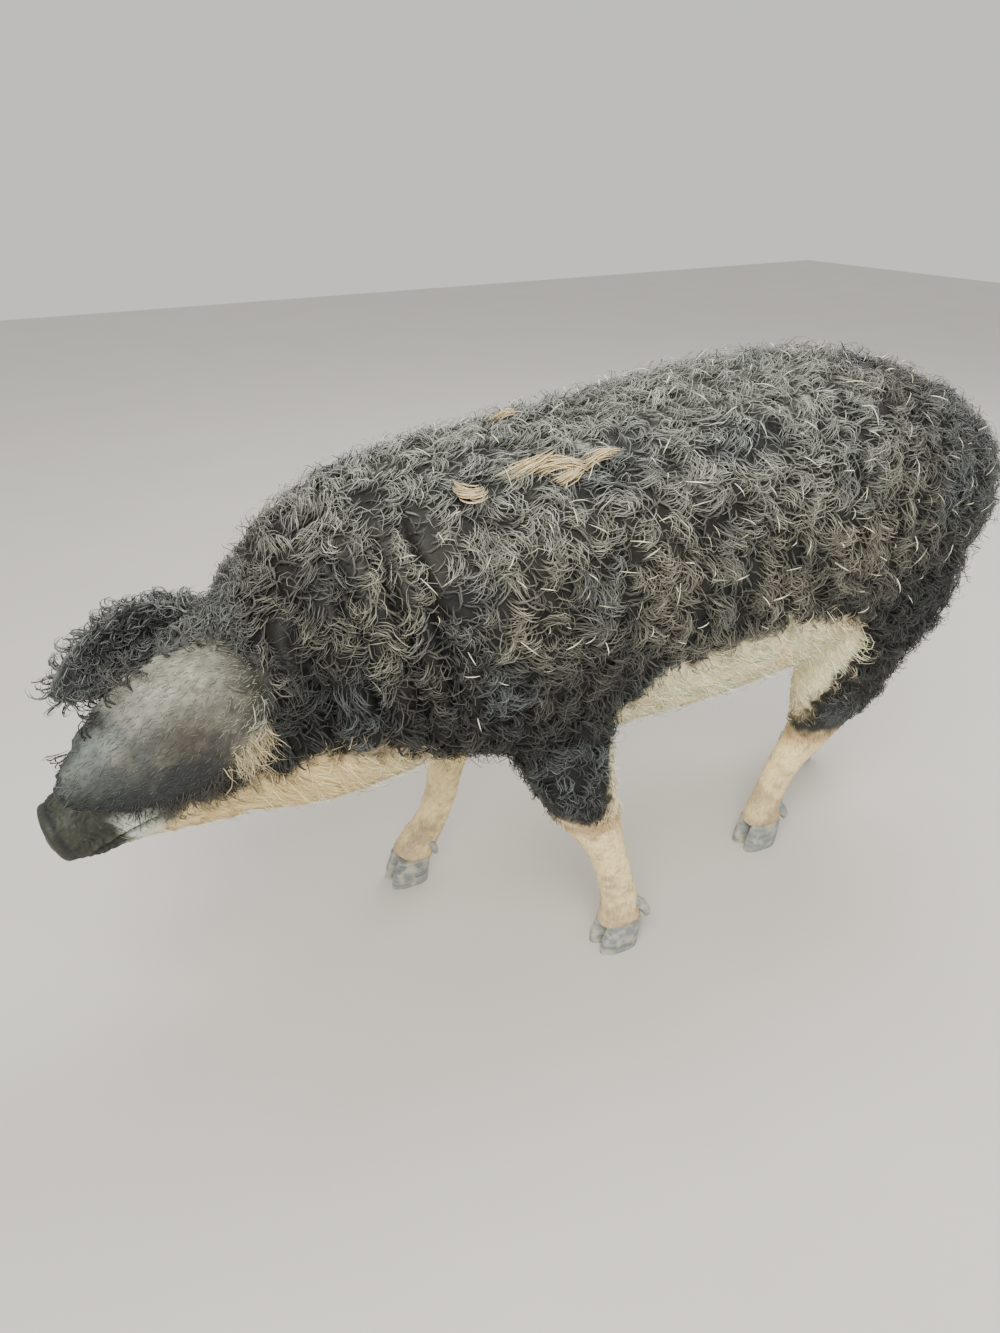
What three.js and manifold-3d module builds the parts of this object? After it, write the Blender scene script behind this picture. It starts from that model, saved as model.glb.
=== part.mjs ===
// Mangalica pig, a life-size still model of an adult swallow-bellied sow, walking with its head low.
// Millimetres, +Z up. The pig faces -X and its left side is -Y. The floor is z = 0.
// Tables are written with x = 0 midway between the fore feet; the whole is centred over the floor at the end.
import * as THREE from "three";
import { LoftGeometry } from "three/addons/geometries/LoftGeometry.js";
import { ConvexGeometry } from "three/addons/geometries/ConvexGeometry.js";
import { MeshSurfaceSampler } from "three/addons/math/MeshSurfaceSampler.js";
import { mergeVertices } from "three/addons/utils/BufferGeometryUtils.js";
import Module from "manifold-3d";

const wasm = await Module();
wasm.setup();

const GAP = 0.3; // clearance between neighbouring pieces
const BODY_ROWS = 20;
const BODY_SIDES = 20; // corners round a trunk section
const COAT_DEPTH = 18; // from the core out to the tips of the curls
const CLUMP_SPACING = 98; // least distance between two clumps of curls
const CLUMP_RADIUS = 66;
const CLUMP_SINK = 9; // how far a root goes into the core
const LEG_ROWS = 13;
const LEG_SIDES = 12;
const CORONET = 46; // height where hair meets horn
const HEAD_SIDES = 22;

// Body, neck to rump: x, z of the centre, half width, reach up, reach down, roundness exponent.
const BODY = [
  [-395, 450, 92, 110, 142, 2.0],
  [-330, 455, 132, 150, 172, 2.1],
  [-263, 474, 164, 182, 188, 2.1],
  [-200, 503, 185, 200, 200, 2.2],
  [-150, 520, 198, 209, 206, 2.2],
  [-80, 528, 207, 217, 216, 2.2],
  [0, 527, 212, 229, 230, 2.2],
  [120, 530, 215, 238, 234, 2.2],
  [244, 536, 217, 249, 242, 2.2],
  [343, 543, 218, 251, 242, 2.2],
  [430, 551, 218, 248, 238, 2.2],
  [520, 558, 215, 239, 222, 2.2],
  [630, 563, 205, 213, 192, 2.2],
  [712, 570, 186, 172, 148, 2.1],
  [775, 567, 152, 133, 112, 2.0],
  [822, 558, 108, 96, 84, 2.0],
  [845, 553, 52, 44, 42, 2.0],
];
// Head, snout to skull: the same columns, measured across the sloping axis of the head.
const HEAD = [
  [-592, 336, 40, 33, 31, 2.2],
  [-586, 338, 47, 41, 38, 2.2],
  [-570, 344, 46, 43, 42, 2.2],
  [-545, 353, 44, 46, 52, 2.2],
  [-515, 366, 49, 54, 64, 2.2],
  [-478, 382, 62, 68, 82, 2.1],
  [-440, 400, 78, 88, 104, 2.1],
  [-400, 422, 98, 112, 126, 2.1],
  [-360, 444, 112, 130, 142, 2.0],
  [-310, 462, 108, 122, 136, 2.0],
];
// Legs from the coronet up: x, y, z of the centre, half width, reach forward, reach back, exponent.
const LEGS = {
  foreleg_left: [
    [112, -157, 40, 30, 36, 34, 2.3],
    [110, -157, 68, 26, 31, 33, 2.2],
    [106, -156, 95, 23, 28, 29, 2.1],
    [96, -155, 140, 25, 28, 28, 2.1],
    [84, -153, 180, 28, 31, 29, 2.1],
    [62, -150, 235, 35, 42, 42, 2.1],
    [40, -145, 295, 46, 60, 58, 2.1],
    [22, -135, 365, 62, 88, 84, 2.1],
    [5, -122, 450, 78, 112, 108, 2.1],
    [0, -108, 540, 84, 110, 110, 2.1],
  ],
  foreleg_right: [
    [-100, 123, 40, 30, 36, 34, 2.3],
    [-84, 123, 70, 26, 31, 33, 2.2],
    [-62, 124, 98, 23, 28, 29, 2.1],
    [-42, 126, 140, 25, 28, 28, 2.1],
    [-30, 130, 180, 28, 31, 29, 2.1],
    [-16, 134, 235, 35, 42, 42, 2.1],
    [-4, 138, 295, 46, 60, 58, 2.1],
    [4, 134, 365, 62, 88, 84, 2.1],
    [2, 122, 450, 78, 112, 108, 2.1],
    [0, 108, 540, 84, 110, 110, 2.1],
  ],
  hindleg_left: [
    [452, -69, 40, 29, 36, 34, 2.3],
    [456, -70, 70, 25, 31, 33, 2.2],
    [464, -71, 100, 23, 28, 29, 2.1],
    [486, -74, 150, 25, 31, 31, 2.1],
    [516, -80, 196, 29, 40, 42, 2.1],
    [534, -88, 240, 38, 66, 56, 2.1],
    [550, -100, 300, 58, 92, 76, 2.1],
    [574, -112, 370, 76, 125, 84, 2.1],
    [608, -118, 450, 86, 145, 104, 2.1],
    [650, -108, 550, 84, 135, 104, 2.1],
  ],
  hindleg_right: [
    [690, 100, 40, 29, 36, 34, 2.3],
    [696, 100, 70, 25, 31, 33, 2.2],
    [708, 100, 100, 23, 28, 29, 2.1],
    [728, 101, 150, 25, 31, 31, 2.1],
    [738, 103, 196, 29, 40, 42, 2.1],
    [724, 106, 240, 38, 58, 50, 2.1],
    [696, 110, 300, 58, 98, 70, 2.1],
    [668, 116, 370, 76, 130, 82, 2.1],
    [656, 118, 450, 86, 145, 100, 2.1],
    [656, 108, 550, 84, 135, 106, 2.1],
  ],
};

// Tail, root to tassel: the columns of a leg.
const TAIL = [
  [795, 7, 628, 18, 18, 18, 2],
  [838, 9, 616, 15, 15, 15, 2],
  [864, 12, 590, 13, 13, 13, 2],
  [874, 18, 555, 11, 11, 11, 2],
  [874, 26, 515, 9, 9, 9, 2],
  [866, 33, 475, 10, 10, 10, 2],
  [858, 37, 440, 15, 15, 15, 2],
  [852, 39, 400, 14, 14, 14, 2],
  [850, 40, 375, 5, 5, 5, 2],
];
// Ears: rows of x, y, z, half width, cup depth, thickness; the upward edge's direction; side.
const EARS = {
  ear_left: [
    [
      [-322, -66, 520, 40, 26, 16],
      [-358, -98, 532, 60, 26, 12],
      [-405, -122, 522, 74, 24, 10],
      [-462, -133, 502, 76, 20, 9],
      [-518, -130, 478, 58, 14, 8],
      [-556, -122, 460, 32, 7, 7],
      [-577, -116, 448, 8, 2, 5],
    ],
    [-0.4, 0.35, 0.85],
    -1,
  ],
  ear_right: [
    [
      [-322, 66, 524, 40, 26, 16],
      [-360, 94, 526, 58, 26, 12],
      [-408, 110, 524, 70, 24, 10],
      [-460, 114, 508, 70, 20, 9],
      [-508, 106, 488, 54, 14, 8],
      [-541, 98, 470, 30, 7, 7],
      [-558, 92, 459, 8, 2, 5],
    ],
    [-0.4, -0.35, 0.85],
    1,
  ],
};
const CLUMP_SIDES = 5;
// A clump's sections, root to tip: height as a share of the coat, spread and drift as shares of its radius.
const CLUMP_PROFILE = [
  [-1, 0.98, 0],
  [0.4, 0.92, 0.05],
  [0.88, 0.64, 0.16],
  [1.1, 0.24, 0.27],
];
const CLUMP_TRIES = 9000;
const EAR_ROWS = 12;
const EAR_SIDES = 12;
const EYE = [-460, 61, 442, 13]; // x, y, z and radius of an eyeball
// Mouth slit: x, z, half width, half thickness at its corner and at the lip.
const MOUTH = [
  [-462, 338, 60, 1.2],
  [-570, 306, 60, 3.5],
];
// Nostril: a bore into the disc of the snout.
const NOSTRIL = [
  [-602, 17, 328, 8, 11, 11, 2],
  [-590, 17, 333, 8, 11, 11, 2],
  [-578, 16, 338, 6, 9, 9, 2],
  [-572, 15, 341, 3, 5, 5, 2],
];
// Claw of a hoof from the sole up, measured from the leg's lowest point; outward y.
const CLAW = [
  [-7, 14.6, -6, 12.5, 33, 26, 2.6],
  [-5, 14.6, 12, 13.5, 32, 26, 2.5],
  [-2, 14.6, 30, 14, 28, 26, 2.4],
  [0, 14.6, 52, 13.5, 24, 26, 2.3],
];
// Dewclaw at the back of a foot, root to tip.
const DEWCLAW = [
  [16, 12, 76, 9, 8, 8, 2],
  [27, 15, 66, 9, 8, 8, 2.2],
  [33, 17, 54, 8, 7, 6, 2.4],
  [35, 18, 45, 4, 4, 3, 2.4],
];
// Blocks that part the legs: x range at the floor, x range at the top, inner y, outer y, height at the
// front and at the back, rise outward.
const LEG_BLOCKS = {
  foreleg_left: [40, 178, -78, 118, -55, -270, 300, 300, 95],
  foreleg_right: [-152, 20, -92, 112, 55, 270, 300, 300, 95],
  hindleg_left: [398, 525, 425, 780, -25, -270, 305, 420, 95],
  hindleg_right: [636, 792, 500, 800, 25, 270, 320, 420, 95],
};
// Planes that part the nodes: x, z of a point on it and the direction x, z that faces forward.
const SHOULDER_CUT = [-105, 540, -1, -0.12];
const POLL_CUT = [-325, 470, -1, -0.35];
const SNOUT_CUT = [-568, 342, -1, -0.45];

// A solid of manifold-3d from a closed three.js surface.
function solid(geometry) {
  const bare = new THREE.BufferGeometry().setAttribute("position", geometry.getAttribute("position"));
  bare.setIndex(geometry.getIndex());
  const merged = mergeVertices(bare, 1e-3);
  return new wasm.Manifold(
    new wasm.Mesh({
      numProp: 3,
      vertProperties: merged.attributes.position.array,
      triVerts: new Uint32Array(merged.index.array),
    }),
  );
}

// The largest closed surface of a solid.
function largest(body) {
  return body.decompose().sort((a, b) => b.volume() - a.volume())[0];
}

// Rows of numbers carried on to `count` rows along one smooth curve through all of them.
function smooth(rows, count) {
  const last = rows.length - 1;
  return Array.from({ length: count }, (_, k) => {
    const t = (k / (count - 1)) * last;
    const i = Math.min(Math.floor(t), last - 1);
    const u = t - i;
    const [p, q, r, s] = [i - 1, i, i + 1, i + 2].map((j) => rows[Math.min(Math.max(j, 0), last)]);
    return q.map(
      (_, c) =>
        0.5 *
        (2 * q[c] +
          (r[c] - p[c]) * u +
          (2 * p[c] - 5 * q[c] + 4 * r[c] - s[c]) * u * u +
          (3 * q[c] - p[c] - 3 * r[c] + s[c]) * u * u * u),
    );
  });
}

// A round limb along a path: rows of x, y, z, half width, reach to one side, reach to the other, exponent.
// `grow` widens it, by one figure or by a figure that depends on the place.
function limb(rows, count, sides, grow = 0) {
  const path = smooth(rows, count);
  const sections = path.map((row, k) => {
    const before = path[Math.max(k - 1, 0)];
    const after = path[Math.min(k + 1, count - 1)];
    const along = new THREE.Vector3(after[0] - before[0], after[1] - before[1], after[2] - before[2]).normalize();
    const up = along.clone().cross(new THREE.Vector3(0, 1, 0)).normalize();
    const across = up.clone().cross(along);
    const [x, y, z, half, front, back, power] = row;
    const more = typeof grow === "function" ? grow(x, y, z) : grow;
    const end = k === 0 ? -Math.max(more, 0) : k === count - 1 ? Math.max(more, 0) : 0;
    return Array.from({ length: sides }, (_, j) => {
      const a = ((j + 0.5) / sides) * 2 * Math.PI;
      const c = Math.sign(Math.cos(a)) * Math.abs(Math.cos(a)) ** (2 / power);
      const s = Math.sign(Math.sin(a)) * Math.abs(Math.sin(a)) ** (2 / power);
      return new THREE.Vector3(x, y, z)
        .addScaledVector(along, end)
        .addScaledVector(across, c * (half + more))
        .addScaledVector(up, s * ((s > 0 ? front : back) + more));
    });
  });
  return solid(new LoftGeometry(sections, { closed: true, capStart: true, capEnd: true }));
}

// An ear: rows of x, y, z along the middle, half width, cup depth and thickness. `side` is -1 on the left.
function ear(rows, upward, side, grow = 0) {
  const path = smooth(rows, EAR_ROWS);
  const sections = path.map((row, k) => {
    const before = path[Math.max(k - 1, 0)];
    const after = path[Math.min(k + 1, EAR_ROWS - 1)];
    const along = new THREE.Vector3(after[0] - before[0], after[1] - before[1], after[2] - before[2]).normalize();
    const wide = new THREE.Vector3(...upward).addScaledVector(along, -along.dot(new THREE.Vector3(...upward))).normalize();
    const thick = along.clone().cross(wide);
    const [x, y, z, half, cup, thickness] = row;
    const end = k === 0 ? -grow : k === EAR_ROWS - 1 ? grow : 0;
    return Array.from({ length: EAR_SIDES }, (_, j) => {
      const a = ((j + 0.5) / EAR_SIDES) * 2 * Math.PI;
      const s = Math.cos(a);
      return new THREE.Vector3(x, y, z)
        .addScaledVector(along, end)
        .addScaledVector(wide, s * (half + grow))
        .addScaledVector(thick, -side * cup * (1 + grow / half) ** 2 * s * s + Math.sin(a) * (thickness / 2 + grow));
    });
  });
  return solid(new LoftGeometry(sections, { closed: true, capStart: true, capEnd: true }));
}

// A ball with its poles along X.
function ball(x, y, z, rx, ry, rz, fine = 12) {
  return solid(new THREE.SphereGeometry(1, fine, fine / 2).rotateZ(Math.PI / 2).scale(rx, ry, rz).translate(x, y, z));
}

// The convex block round the lower part of a leg, grown outwards by `grow`.
function legBlock([low0, low1, top0, top1, inner, outer, zFront, zBack, rise], grow = 0) {
  const side = Math.sign(outer);
  const points = [];
  for (const [low, top, z, out] of [[low0, top0, zFront, -grow], [low1, top1, zBack, grow]])
    for (const [y, lift] of [[inner - side * grow, 0], [outer + side * grow, rise]])
      points.push(
        new THREE.Vector3(low + out, y, -20),
        new THREE.Vector3(top + out, y, z + lift + grow * 1.15),
      );
  return solid(new ConvexGeometry(points));
}

// One rounded clump of curls on the point `root`, standing along `out` and leaning along `lean`.
function clump(root, out, lean, radius, random) {
  const side = out.clone().cross(lean).normalize();
  const flow = side.clone().cross(out);
  const turn = random() * 2 * Math.PI;
  const bumps = Array.from({ length: CLUMP_SIDES }, () => 0.86 + 0.28 * random());
  const sections = CLUMP_PROFILE.map(([height, spread, drift]) =>
    bumps.map((bump, j) => {
      const a = turn + (j / CLUMP_SIDES) * 2 * Math.PI;
      return root
        .clone()
        .addScaledVector(out, height < 0 ? -CLUMP_SINK : height * COAT_DEPTH)
        .addScaledVector(flow, radius * (drift + 1.12 * spread * bump * Math.cos(a)))
        .addScaledVector(side, radius * 0.92 * spread * bump * Math.sin(a));
    }),
  );
  return solid(new LoftGeometry(sections, { closed: true, capStart: true, capEnd: true }));
}

// Repeatable random numbers from 0 to 1.
function seeded(state) {
  return () => {
    state = (Math.imul(state, 1664525) + 1013904223) >>> 0;
    return state / 4294967296;
  };
}

// Smooth step from 0 at `low` to 1 at `high`.
const step = (low, high, value) => {
  const t = Math.min(Math.max((value - low) / (high - low), 0), 1);
  return t * t * (3 - 2 * t);
};
// Share of the full coat at a place: none on the face and lower legs, little under the belly.
const coat = (x, y, z) => step(-430, -350, x) * step(285, 375, z);
const bare = (x, y, z) => -COAT_DEPTH * coat(x, y, z);

const flat = (rows) => rows.map(([x, z, ...rest]) => [x, 0, z, ...rest]);

// Body, head and legs in one closed form, before they are parted.
const core = flat(BODY).map(([x, ...rest]) => [x - COAT_DEPTH * step(700, 850, x), ...rest]);
const trunk = limb(core, BODY_ROWS, BODY_SIDES, (x) => -COAT_DEPTH * step(-430, -350, x));
const skull = limb(flat(HEAD), 20, HEAD_SIDES, bare);
const level = (body, low, high) => body.trimByPlane([0, 0, 1], low).trimByPlane([0, 0, -1], -high);
const legs = Object.values(LEGS).map((rows) => level(limb(rows, LEG_ROWS, LEG_SIDES, bare), CORONET, 600));
const dock = limb(TAIL.slice(0, 3), 4, 8);
let whole = wasm.Manifold.union([trunk, skull, ...legs]);

// A three.js surface from a solid.
function surface(body) {
  const made = body.getMesh();
  return new THREE.BufferGeometry()
    .setAttribute("position", new THREE.BufferAttribute(made.vertProperties, 3))
    .setIndex(new THREE.BufferAttribute(made.triVerts, 1));
}

// Clumps of curls set close over the core, each leaning back and down, none nearer than the spacing.
const random = seeded(20417);
const sampler = new MeshSurfaceSampler(new THREE.Mesh(surface(whole).toNonIndexed()));
sampler.setRandomGenerator(random).build();
const roots = [];
const clumps = [];
for (let tries = 0; tries < CLUMP_TRIES; tries++) {
  const root = new THREE.Vector3();
  const out = new THREE.Vector3();
  sampler.sample(root, out);
  if (random() > 4 * coat(root.x, root.y, root.z) - 1.2) continue;
  if (roots.some((other) => other.distanceTo(root) < CLUMP_SPACING)) continue;
  roots.push(root);
  const lean = new THREE.Vector3(0.8, 0.5 * (random() - 0.5), -0.5 * (1 - Math.abs(out.z)) + 0.5 * (random() - 0.5));
  clumps.push(clump(root, out, lean, CLUMP_RADIUS * (0.9 + 0.2 * random()), random));
}
whole = whole.add(dock).add(wasm.Manifold.union(clumps));

// Mouth slit, eye sockets with lids, and nostrils.
for (const side of [-1, 1]) {
  const [ex, ey, ez] = [EYE[0], side * EYE[1], EYE[2]];
  whole = whole.add(ball(ex + 3, ey - side * 2, ez - 1, 19, 11, 15));
}
whole = whole.subtract(
  wasm.Manifold.union([-1, 1].map((side) => ball(EYE[0], side * EYE[1], EYE[2], EYE[3] + GAP, EYE[3] + GAP, EYE[3] + GAP))),
);
for (const side of [-1, 1]) {
  const open = ball(EYE[0] - 3, side * (EYE[1] + 9), EYE[2], 13, 9, 7);
  whole = whole.subtract(open);
}
const slit = new ConvexGeometry(
  MOUTH.flatMap(([x, z, half, thick]) => [
    new THREE.Vector3(x, -half, z - thick), new THREE.Vector3(x, half, z - thick),
    new THREE.Vector3(x, -half, z + thick), new THREE.Vector3(x, half, z + thick),
  ]),
);
whole = whole.subtract(solid(slit));
const ears = Object.entries(EARS).map(([name, [rows, upward, side]]) => [name, ear(rows, upward, side)]);
whole = whole.subtract(wasm.Manifold.union(Object.values(EARS).map(([rows, upward, side]) => ear(rows, upward, side, 2 * GAP))));

const group = new THREE.Group();
function add(name, body) {
  const mesh = new THREE.Mesh(surface(largest(body)));
  mesh.name = name;
  group.add(mesh);
}

// Legs from the elbow or stifle down, parted from the body by a block round each.
for (const [name, block] of Object.entries(LEG_BLOCKS)) {
  add(name, whole.intersect(legBlock(block)));
  whole = whole.subtract(legBlock(block, GAP));
}

// Tail, snout, head, neck and torso, parted by planes.
const unit = ([x, z]) => [x / Math.hypot(x, z), 0, z / Math.hypot(x, z)];
function part(body, [x, z, nx, nz]) {
  const n = unit([nx, nz]);
  const offset = n[0] * x + n[2] * z;
  return [
    body.trimByPlane(n, offset + GAP / 2),
    body.trimByPlane(n.map((v) => -v), -offset + GAP / 2),
  ];
}
const [ahead, torso] = part(whole, SHOULDER_CUT);
const [front, neck] = part(ahead, POLL_CUT);
let [disc, head] = part(front, SNOUT_CUT);
add("torso", torso.subtract(limb(TAIL, 16, 8, GAP)));
add("tail", limb(TAIL, 16, 8));
add("neck", neck);
for (const side of [-1, 1])
  disc = disc.subtract(
    limb(NOSTRIL.map(([x, y, z, ...rest]) => [x, side * y, z, ...rest]), 4, 10),
  );
add("snout", disc);

add("head", head);
for (const [name, shape] of ears) add(name, shape);
for (const [name, side] of [["eye_left", -1], ["eye_right", 1]])
  add(name, ball(EYE[0], side * EYE[1], EYE[2], EYE[3], EYE[3], EYE[3]));

// Two claws and two dewclaws a foot.
for (const [name, rows] of Object.entries(LEGS)) {
  const [x, y, z] = rows[0];
  const foot = name.replace("leg", "foot");
  const legGrown = limb(rows, LEG_ROWS, LEG_SIDES, GAP);
  for (const [label, side] of [["inner", y > 0 ? -1 : 1], ["outer", y > 0 ? 1 : -1]]) {
    const claw = CLAW.map(([dx, dy, dz, half, ahead, behind, power]) => [x + dx, y + side * dy, dz, half, ahead, behind, power]);
    add(foot + "_claw_" + label, level(limb(claw, 5, 10), 0, CORONET - GAP));
    const spur = DEWCLAW.map(([dx, dy, dz, ...rest]) => [x + dx, y + side * dy, dz, ...rest]);
    add(foot + "_dewclaw_" + label, limb(spur, 4, 6).subtract(legGrown));
  }
}

const box = new THREE.Box3().setFromObject(group);
group.position.set(-(box.min.x + box.max.x) / 2, -(box.min.y + box.max.y) / 2, -box.min.z);
export default group;
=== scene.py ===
import bmesh
import bpy
import numpy as np
from mathutils import Matrix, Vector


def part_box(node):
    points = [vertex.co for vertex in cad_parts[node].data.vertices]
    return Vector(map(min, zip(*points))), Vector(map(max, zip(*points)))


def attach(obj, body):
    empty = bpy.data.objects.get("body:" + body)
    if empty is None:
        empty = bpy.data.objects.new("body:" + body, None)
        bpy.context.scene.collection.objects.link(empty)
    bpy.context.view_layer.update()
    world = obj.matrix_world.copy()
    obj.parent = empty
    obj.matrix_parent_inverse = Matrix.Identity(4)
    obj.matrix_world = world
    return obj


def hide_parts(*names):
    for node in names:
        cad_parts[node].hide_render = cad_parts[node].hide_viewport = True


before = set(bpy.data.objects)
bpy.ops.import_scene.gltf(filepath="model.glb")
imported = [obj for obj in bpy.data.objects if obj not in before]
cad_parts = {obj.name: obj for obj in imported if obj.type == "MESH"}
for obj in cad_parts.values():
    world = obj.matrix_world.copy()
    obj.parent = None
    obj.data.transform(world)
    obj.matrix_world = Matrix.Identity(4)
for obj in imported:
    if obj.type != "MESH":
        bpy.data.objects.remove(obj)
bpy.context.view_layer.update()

# The skin: one closed hide over body, head, ears, tail and legs, worked out in millimetres in the animal's
# own frame, snout towards -X and left side towards -Y. It lies inside the solids by the depth of their core
# on body and neck, and just under their surface on the face, the ears and the lower legs.
EYE = np.array([-460.0, 61.0, 442.0])
EYE_RADIUS = 13.0
lowest, highest = (np.array(corner) * 1000 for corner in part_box("eye_left"))
SHIFT = (lowest + highest) / 2 - EYE * [1, -1, 1]
COAT_DEPTH, FACE_DEPTH = 18.0, 2.0
COAT_FROM, COAT_FULL = -430, -340
SOCKET_RADIUS = 19.0
VOXEL = 5.6
# Rows of cross-sections: the middle's x, y and z, the half width, the reach up (on a leg forward), the reach
# down (on a leg back), and the power of the outline, which is an ellipse at 2 and squarer above.
BODY = [
    [-395, 0, 450, 92, 110, 142, 2.0],
    [-330, 0, 455, 132, 150, 172, 2.1],
    [-263, 0, 474, 164, 182, 188, 2.1],
    [-200, 0, 503, 185, 200, 200, 2.2],
    [-150, 0, 520, 198, 209, 206, 2.2],
    [-80, 0, 528, 207, 217, 216, 2.2],
    [0, 0, 527, 212, 229, 230, 2.2],
    [120, 0, 530, 215, 238, 234, 2.2],
    [244, 0, 536, 217, 249, 242, 2.2],
    [343, 0, 543, 218, 251, 242, 2.2],
    [430, 0, 551, 218, 248, 238, 2.2],
    [520, 0, 558, 215, 239, 222, 2.2],
    [630, 0, 563, 205, 213, 192, 2.2],
    [712, 0, 570, 186, 172, 148, 2.1],
    [775, 0, 567, 152, 133, 112, 2.0],
    [822, 0, 558, 108, 96, 84, 2.0],
    [845, 0, 553, 52, 44, 42, 2.0],
]
HEAD = [
    [-592, 0, 336, 40, 33, 31, 2.2],
    [-586, 0, 338, 47, 41, 38, 2.2],
    [-570, 0, 344, 46, 43, 42, 2.2],
    [-545, 0, 353, 44, 46, 52, 2.2],
    [-515, 0, 366, 49, 54, 64, 2.2],
    [-478, 0, 382, 62, 68, 82, 2.1],
    [-440, 0, 400, 78, 88, 104, 2.1],
    [-400, 0, 422, 98, 112, 126, 2.1],
    [-360, 0, 444, 112, 130, 142, 2.0],
    [-310, 0, 462, 108, 122, 136, 2.0],
]
LEGS = {
    "foreleg_left": [
        [112, -157, 40, 30, 36, 34, 2.3],
        [110, -157, 68, 26, 31, 33, 2.2],
        [106, -156, 95, 23, 28, 29, 2.1],
        [96, -155, 140, 25, 28, 28, 2.1],
        [84, -153, 180, 28, 31, 29, 2.1],
        [62, -150, 235, 35, 42, 42, 2.1],
        [40, -145, 295, 46, 60, 58, 2.1],
        [22, -135, 365, 62, 88, 84, 2.1],
        [5, -122, 450, 78, 112, 108, 2.1],
        [0, -108, 540, 84, 110, 110, 2.1],
    ],
    "foreleg_right": [
        [-100, 123, 40, 30, 36, 34, 2.3],
        [-84, 123, 70, 26, 31, 33, 2.2],
        [-62, 124, 98, 23, 28, 29, 2.1],
        [-42, 126, 140, 25, 28, 28, 2.1],
        [-30, 130, 180, 28, 31, 29, 2.1],
        [-16, 134, 235, 35, 42, 42, 2.1],
        [-4, 138, 295, 46, 60, 58, 2.1],
        [4, 134, 365, 62, 88, 84, 2.1],
        [2, 122, 450, 78, 112, 108, 2.1],
        [0, 108, 540, 84, 110, 110, 2.1],
    ],
    "hindleg_left": [
        [452, -69, 40, 29, 36, 34, 2.3],
        [456, -70, 70, 25, 31, 33, 2.2],
        [464, -71, 100, 23, 28, 29, 2.1],
        [486, -74, 150, 25, 31, 31, 2.1],
        [516, -80, 196, 29, 40, 42, 2.1],
        [534, -88, 240, 38, 66, 56, 2.1],
        [550, -100, 300, 58, 92, 76, 2.1],
        [574, -112, 370, 76, 125, 84, 2.1],
        [608, -118, 450, 86, 145, 104, 2.1],
        [650, -108, 550, 84, 135, 104, 2.1],
    ],
    "hindleg_right": [
        [690, 100, 40, 29, 36, 34, 2.3],
        [696, 100, 70, 25, 31, 33, 2.2],
        [708, 100, 100, 23, 28, 29, 2.1],
        [728, 101, 150, 25, 31, 31, 2.1],
        [738, 103, 196, 29, 40, 42, 2.1],
        [724, 106, 240, 38, 58, 50, 2.1],
        [696, 110, 300, 58, 98, 70, 2.1],
        [668, 116, 370, 76, 130, 82, 2.1],
        [656, 118, 450, 86, 145, 100, 2.1],
        [656, 108, 550, 84, 135, 106, 2.1],
    ],
}
TAIL = [
    [795, 7, 628, 18, 18, 18, 2],
    [838, 9, 616, 15, 15, 15, 2],
    [864, 12, 590, 13, 13, 13, 2],
    [874, 18, 555, 11, 11, 11, 2],
    [874, 26, 515, 9, 9, 9, 2],
    [866, 33, 475, 8, 8, 8, 2],
    [858, 37, 440, 7, 7, 7, 2],
    [852, 39, 412, 5, 5, 5, 2],
]
# Ears: x, y, z, half width, depth of the cup and thickness; which way the upper edge points; the side.
EARS = {
    "left": (
        [
            [-322, -66, 520, 40, 26, 14],
            [-358, -98, 532, 60, 26, 10],
            [-405, -122, 522, 74, 24, 9],
            [-462, -133, 502, 76, 20, 9],
            [-518, -130, 478, 58, 14, 8],
            [-556, -122, 460, 32, 7, 8],
            [-574, -117, 450, 12, 2, 7],
        ],
        np.array([-0.4, 0.35, 0.85]),
        -1,
    ),
    "right": (
        [
            [-322, 66, 524, 40, 26, 14],
            [-360, 94, 526, 58, 26, 10],
            [-408, 110, 524, 70, 24, 9],
            [-460, 114, 508, 70, 20, 9],
            [-508, 106, 488, 54, 14, 8],
            [-541, 98, 470, 30, 7, 8],
            [-555, 93, 461, 12, 2, 7],
        ],
        np.array([-0.4, -0.35, 0.85]),
        1,
    ),
}


def smooth(rows, count):
    """Catmull-Rom curve through all rows: each value is the cubic that passes through two rows and takes its
    slope at each from the rows on either side."""
    rows = np.array(rows, float)
    t = np.linspace(0, len(rows) - 1, count)
    i = np.minimum(t.astype(int), len(rows) - 2)
    u = (t - i)[:, None]
    p, q, r, s = (rows[np.clip(i + k, 0, len(rows) - 1)] for k in (-1, 0, 1, 2))
    return 0.5 * (2 * q + (r - p) * u + (2 * p - 5 * q + 4 * r - s) * u**2 + (3 * q - p - 3 * r + s) * u**3)


def unit(v):
    """Each vector divided by its length."""
    return v / np.maximum(np.linalg.norm(v, axis=-1, keepdims=True), 1e-9)


def step(low, high, value):
    """Smooth step: 0 below low, 1 above high, 3t^2 - 2t^3 between."""
    t = np.clip((value - low) / (high - low), 0, 1)
    return t * t * (3 - 2 * t)


def hump(value, centre, width):
    """Bell of height 1: e to the power of minus the square of the distance over the width."""
    return np.exp(-(((value - centre) / width) ** 2))


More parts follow.
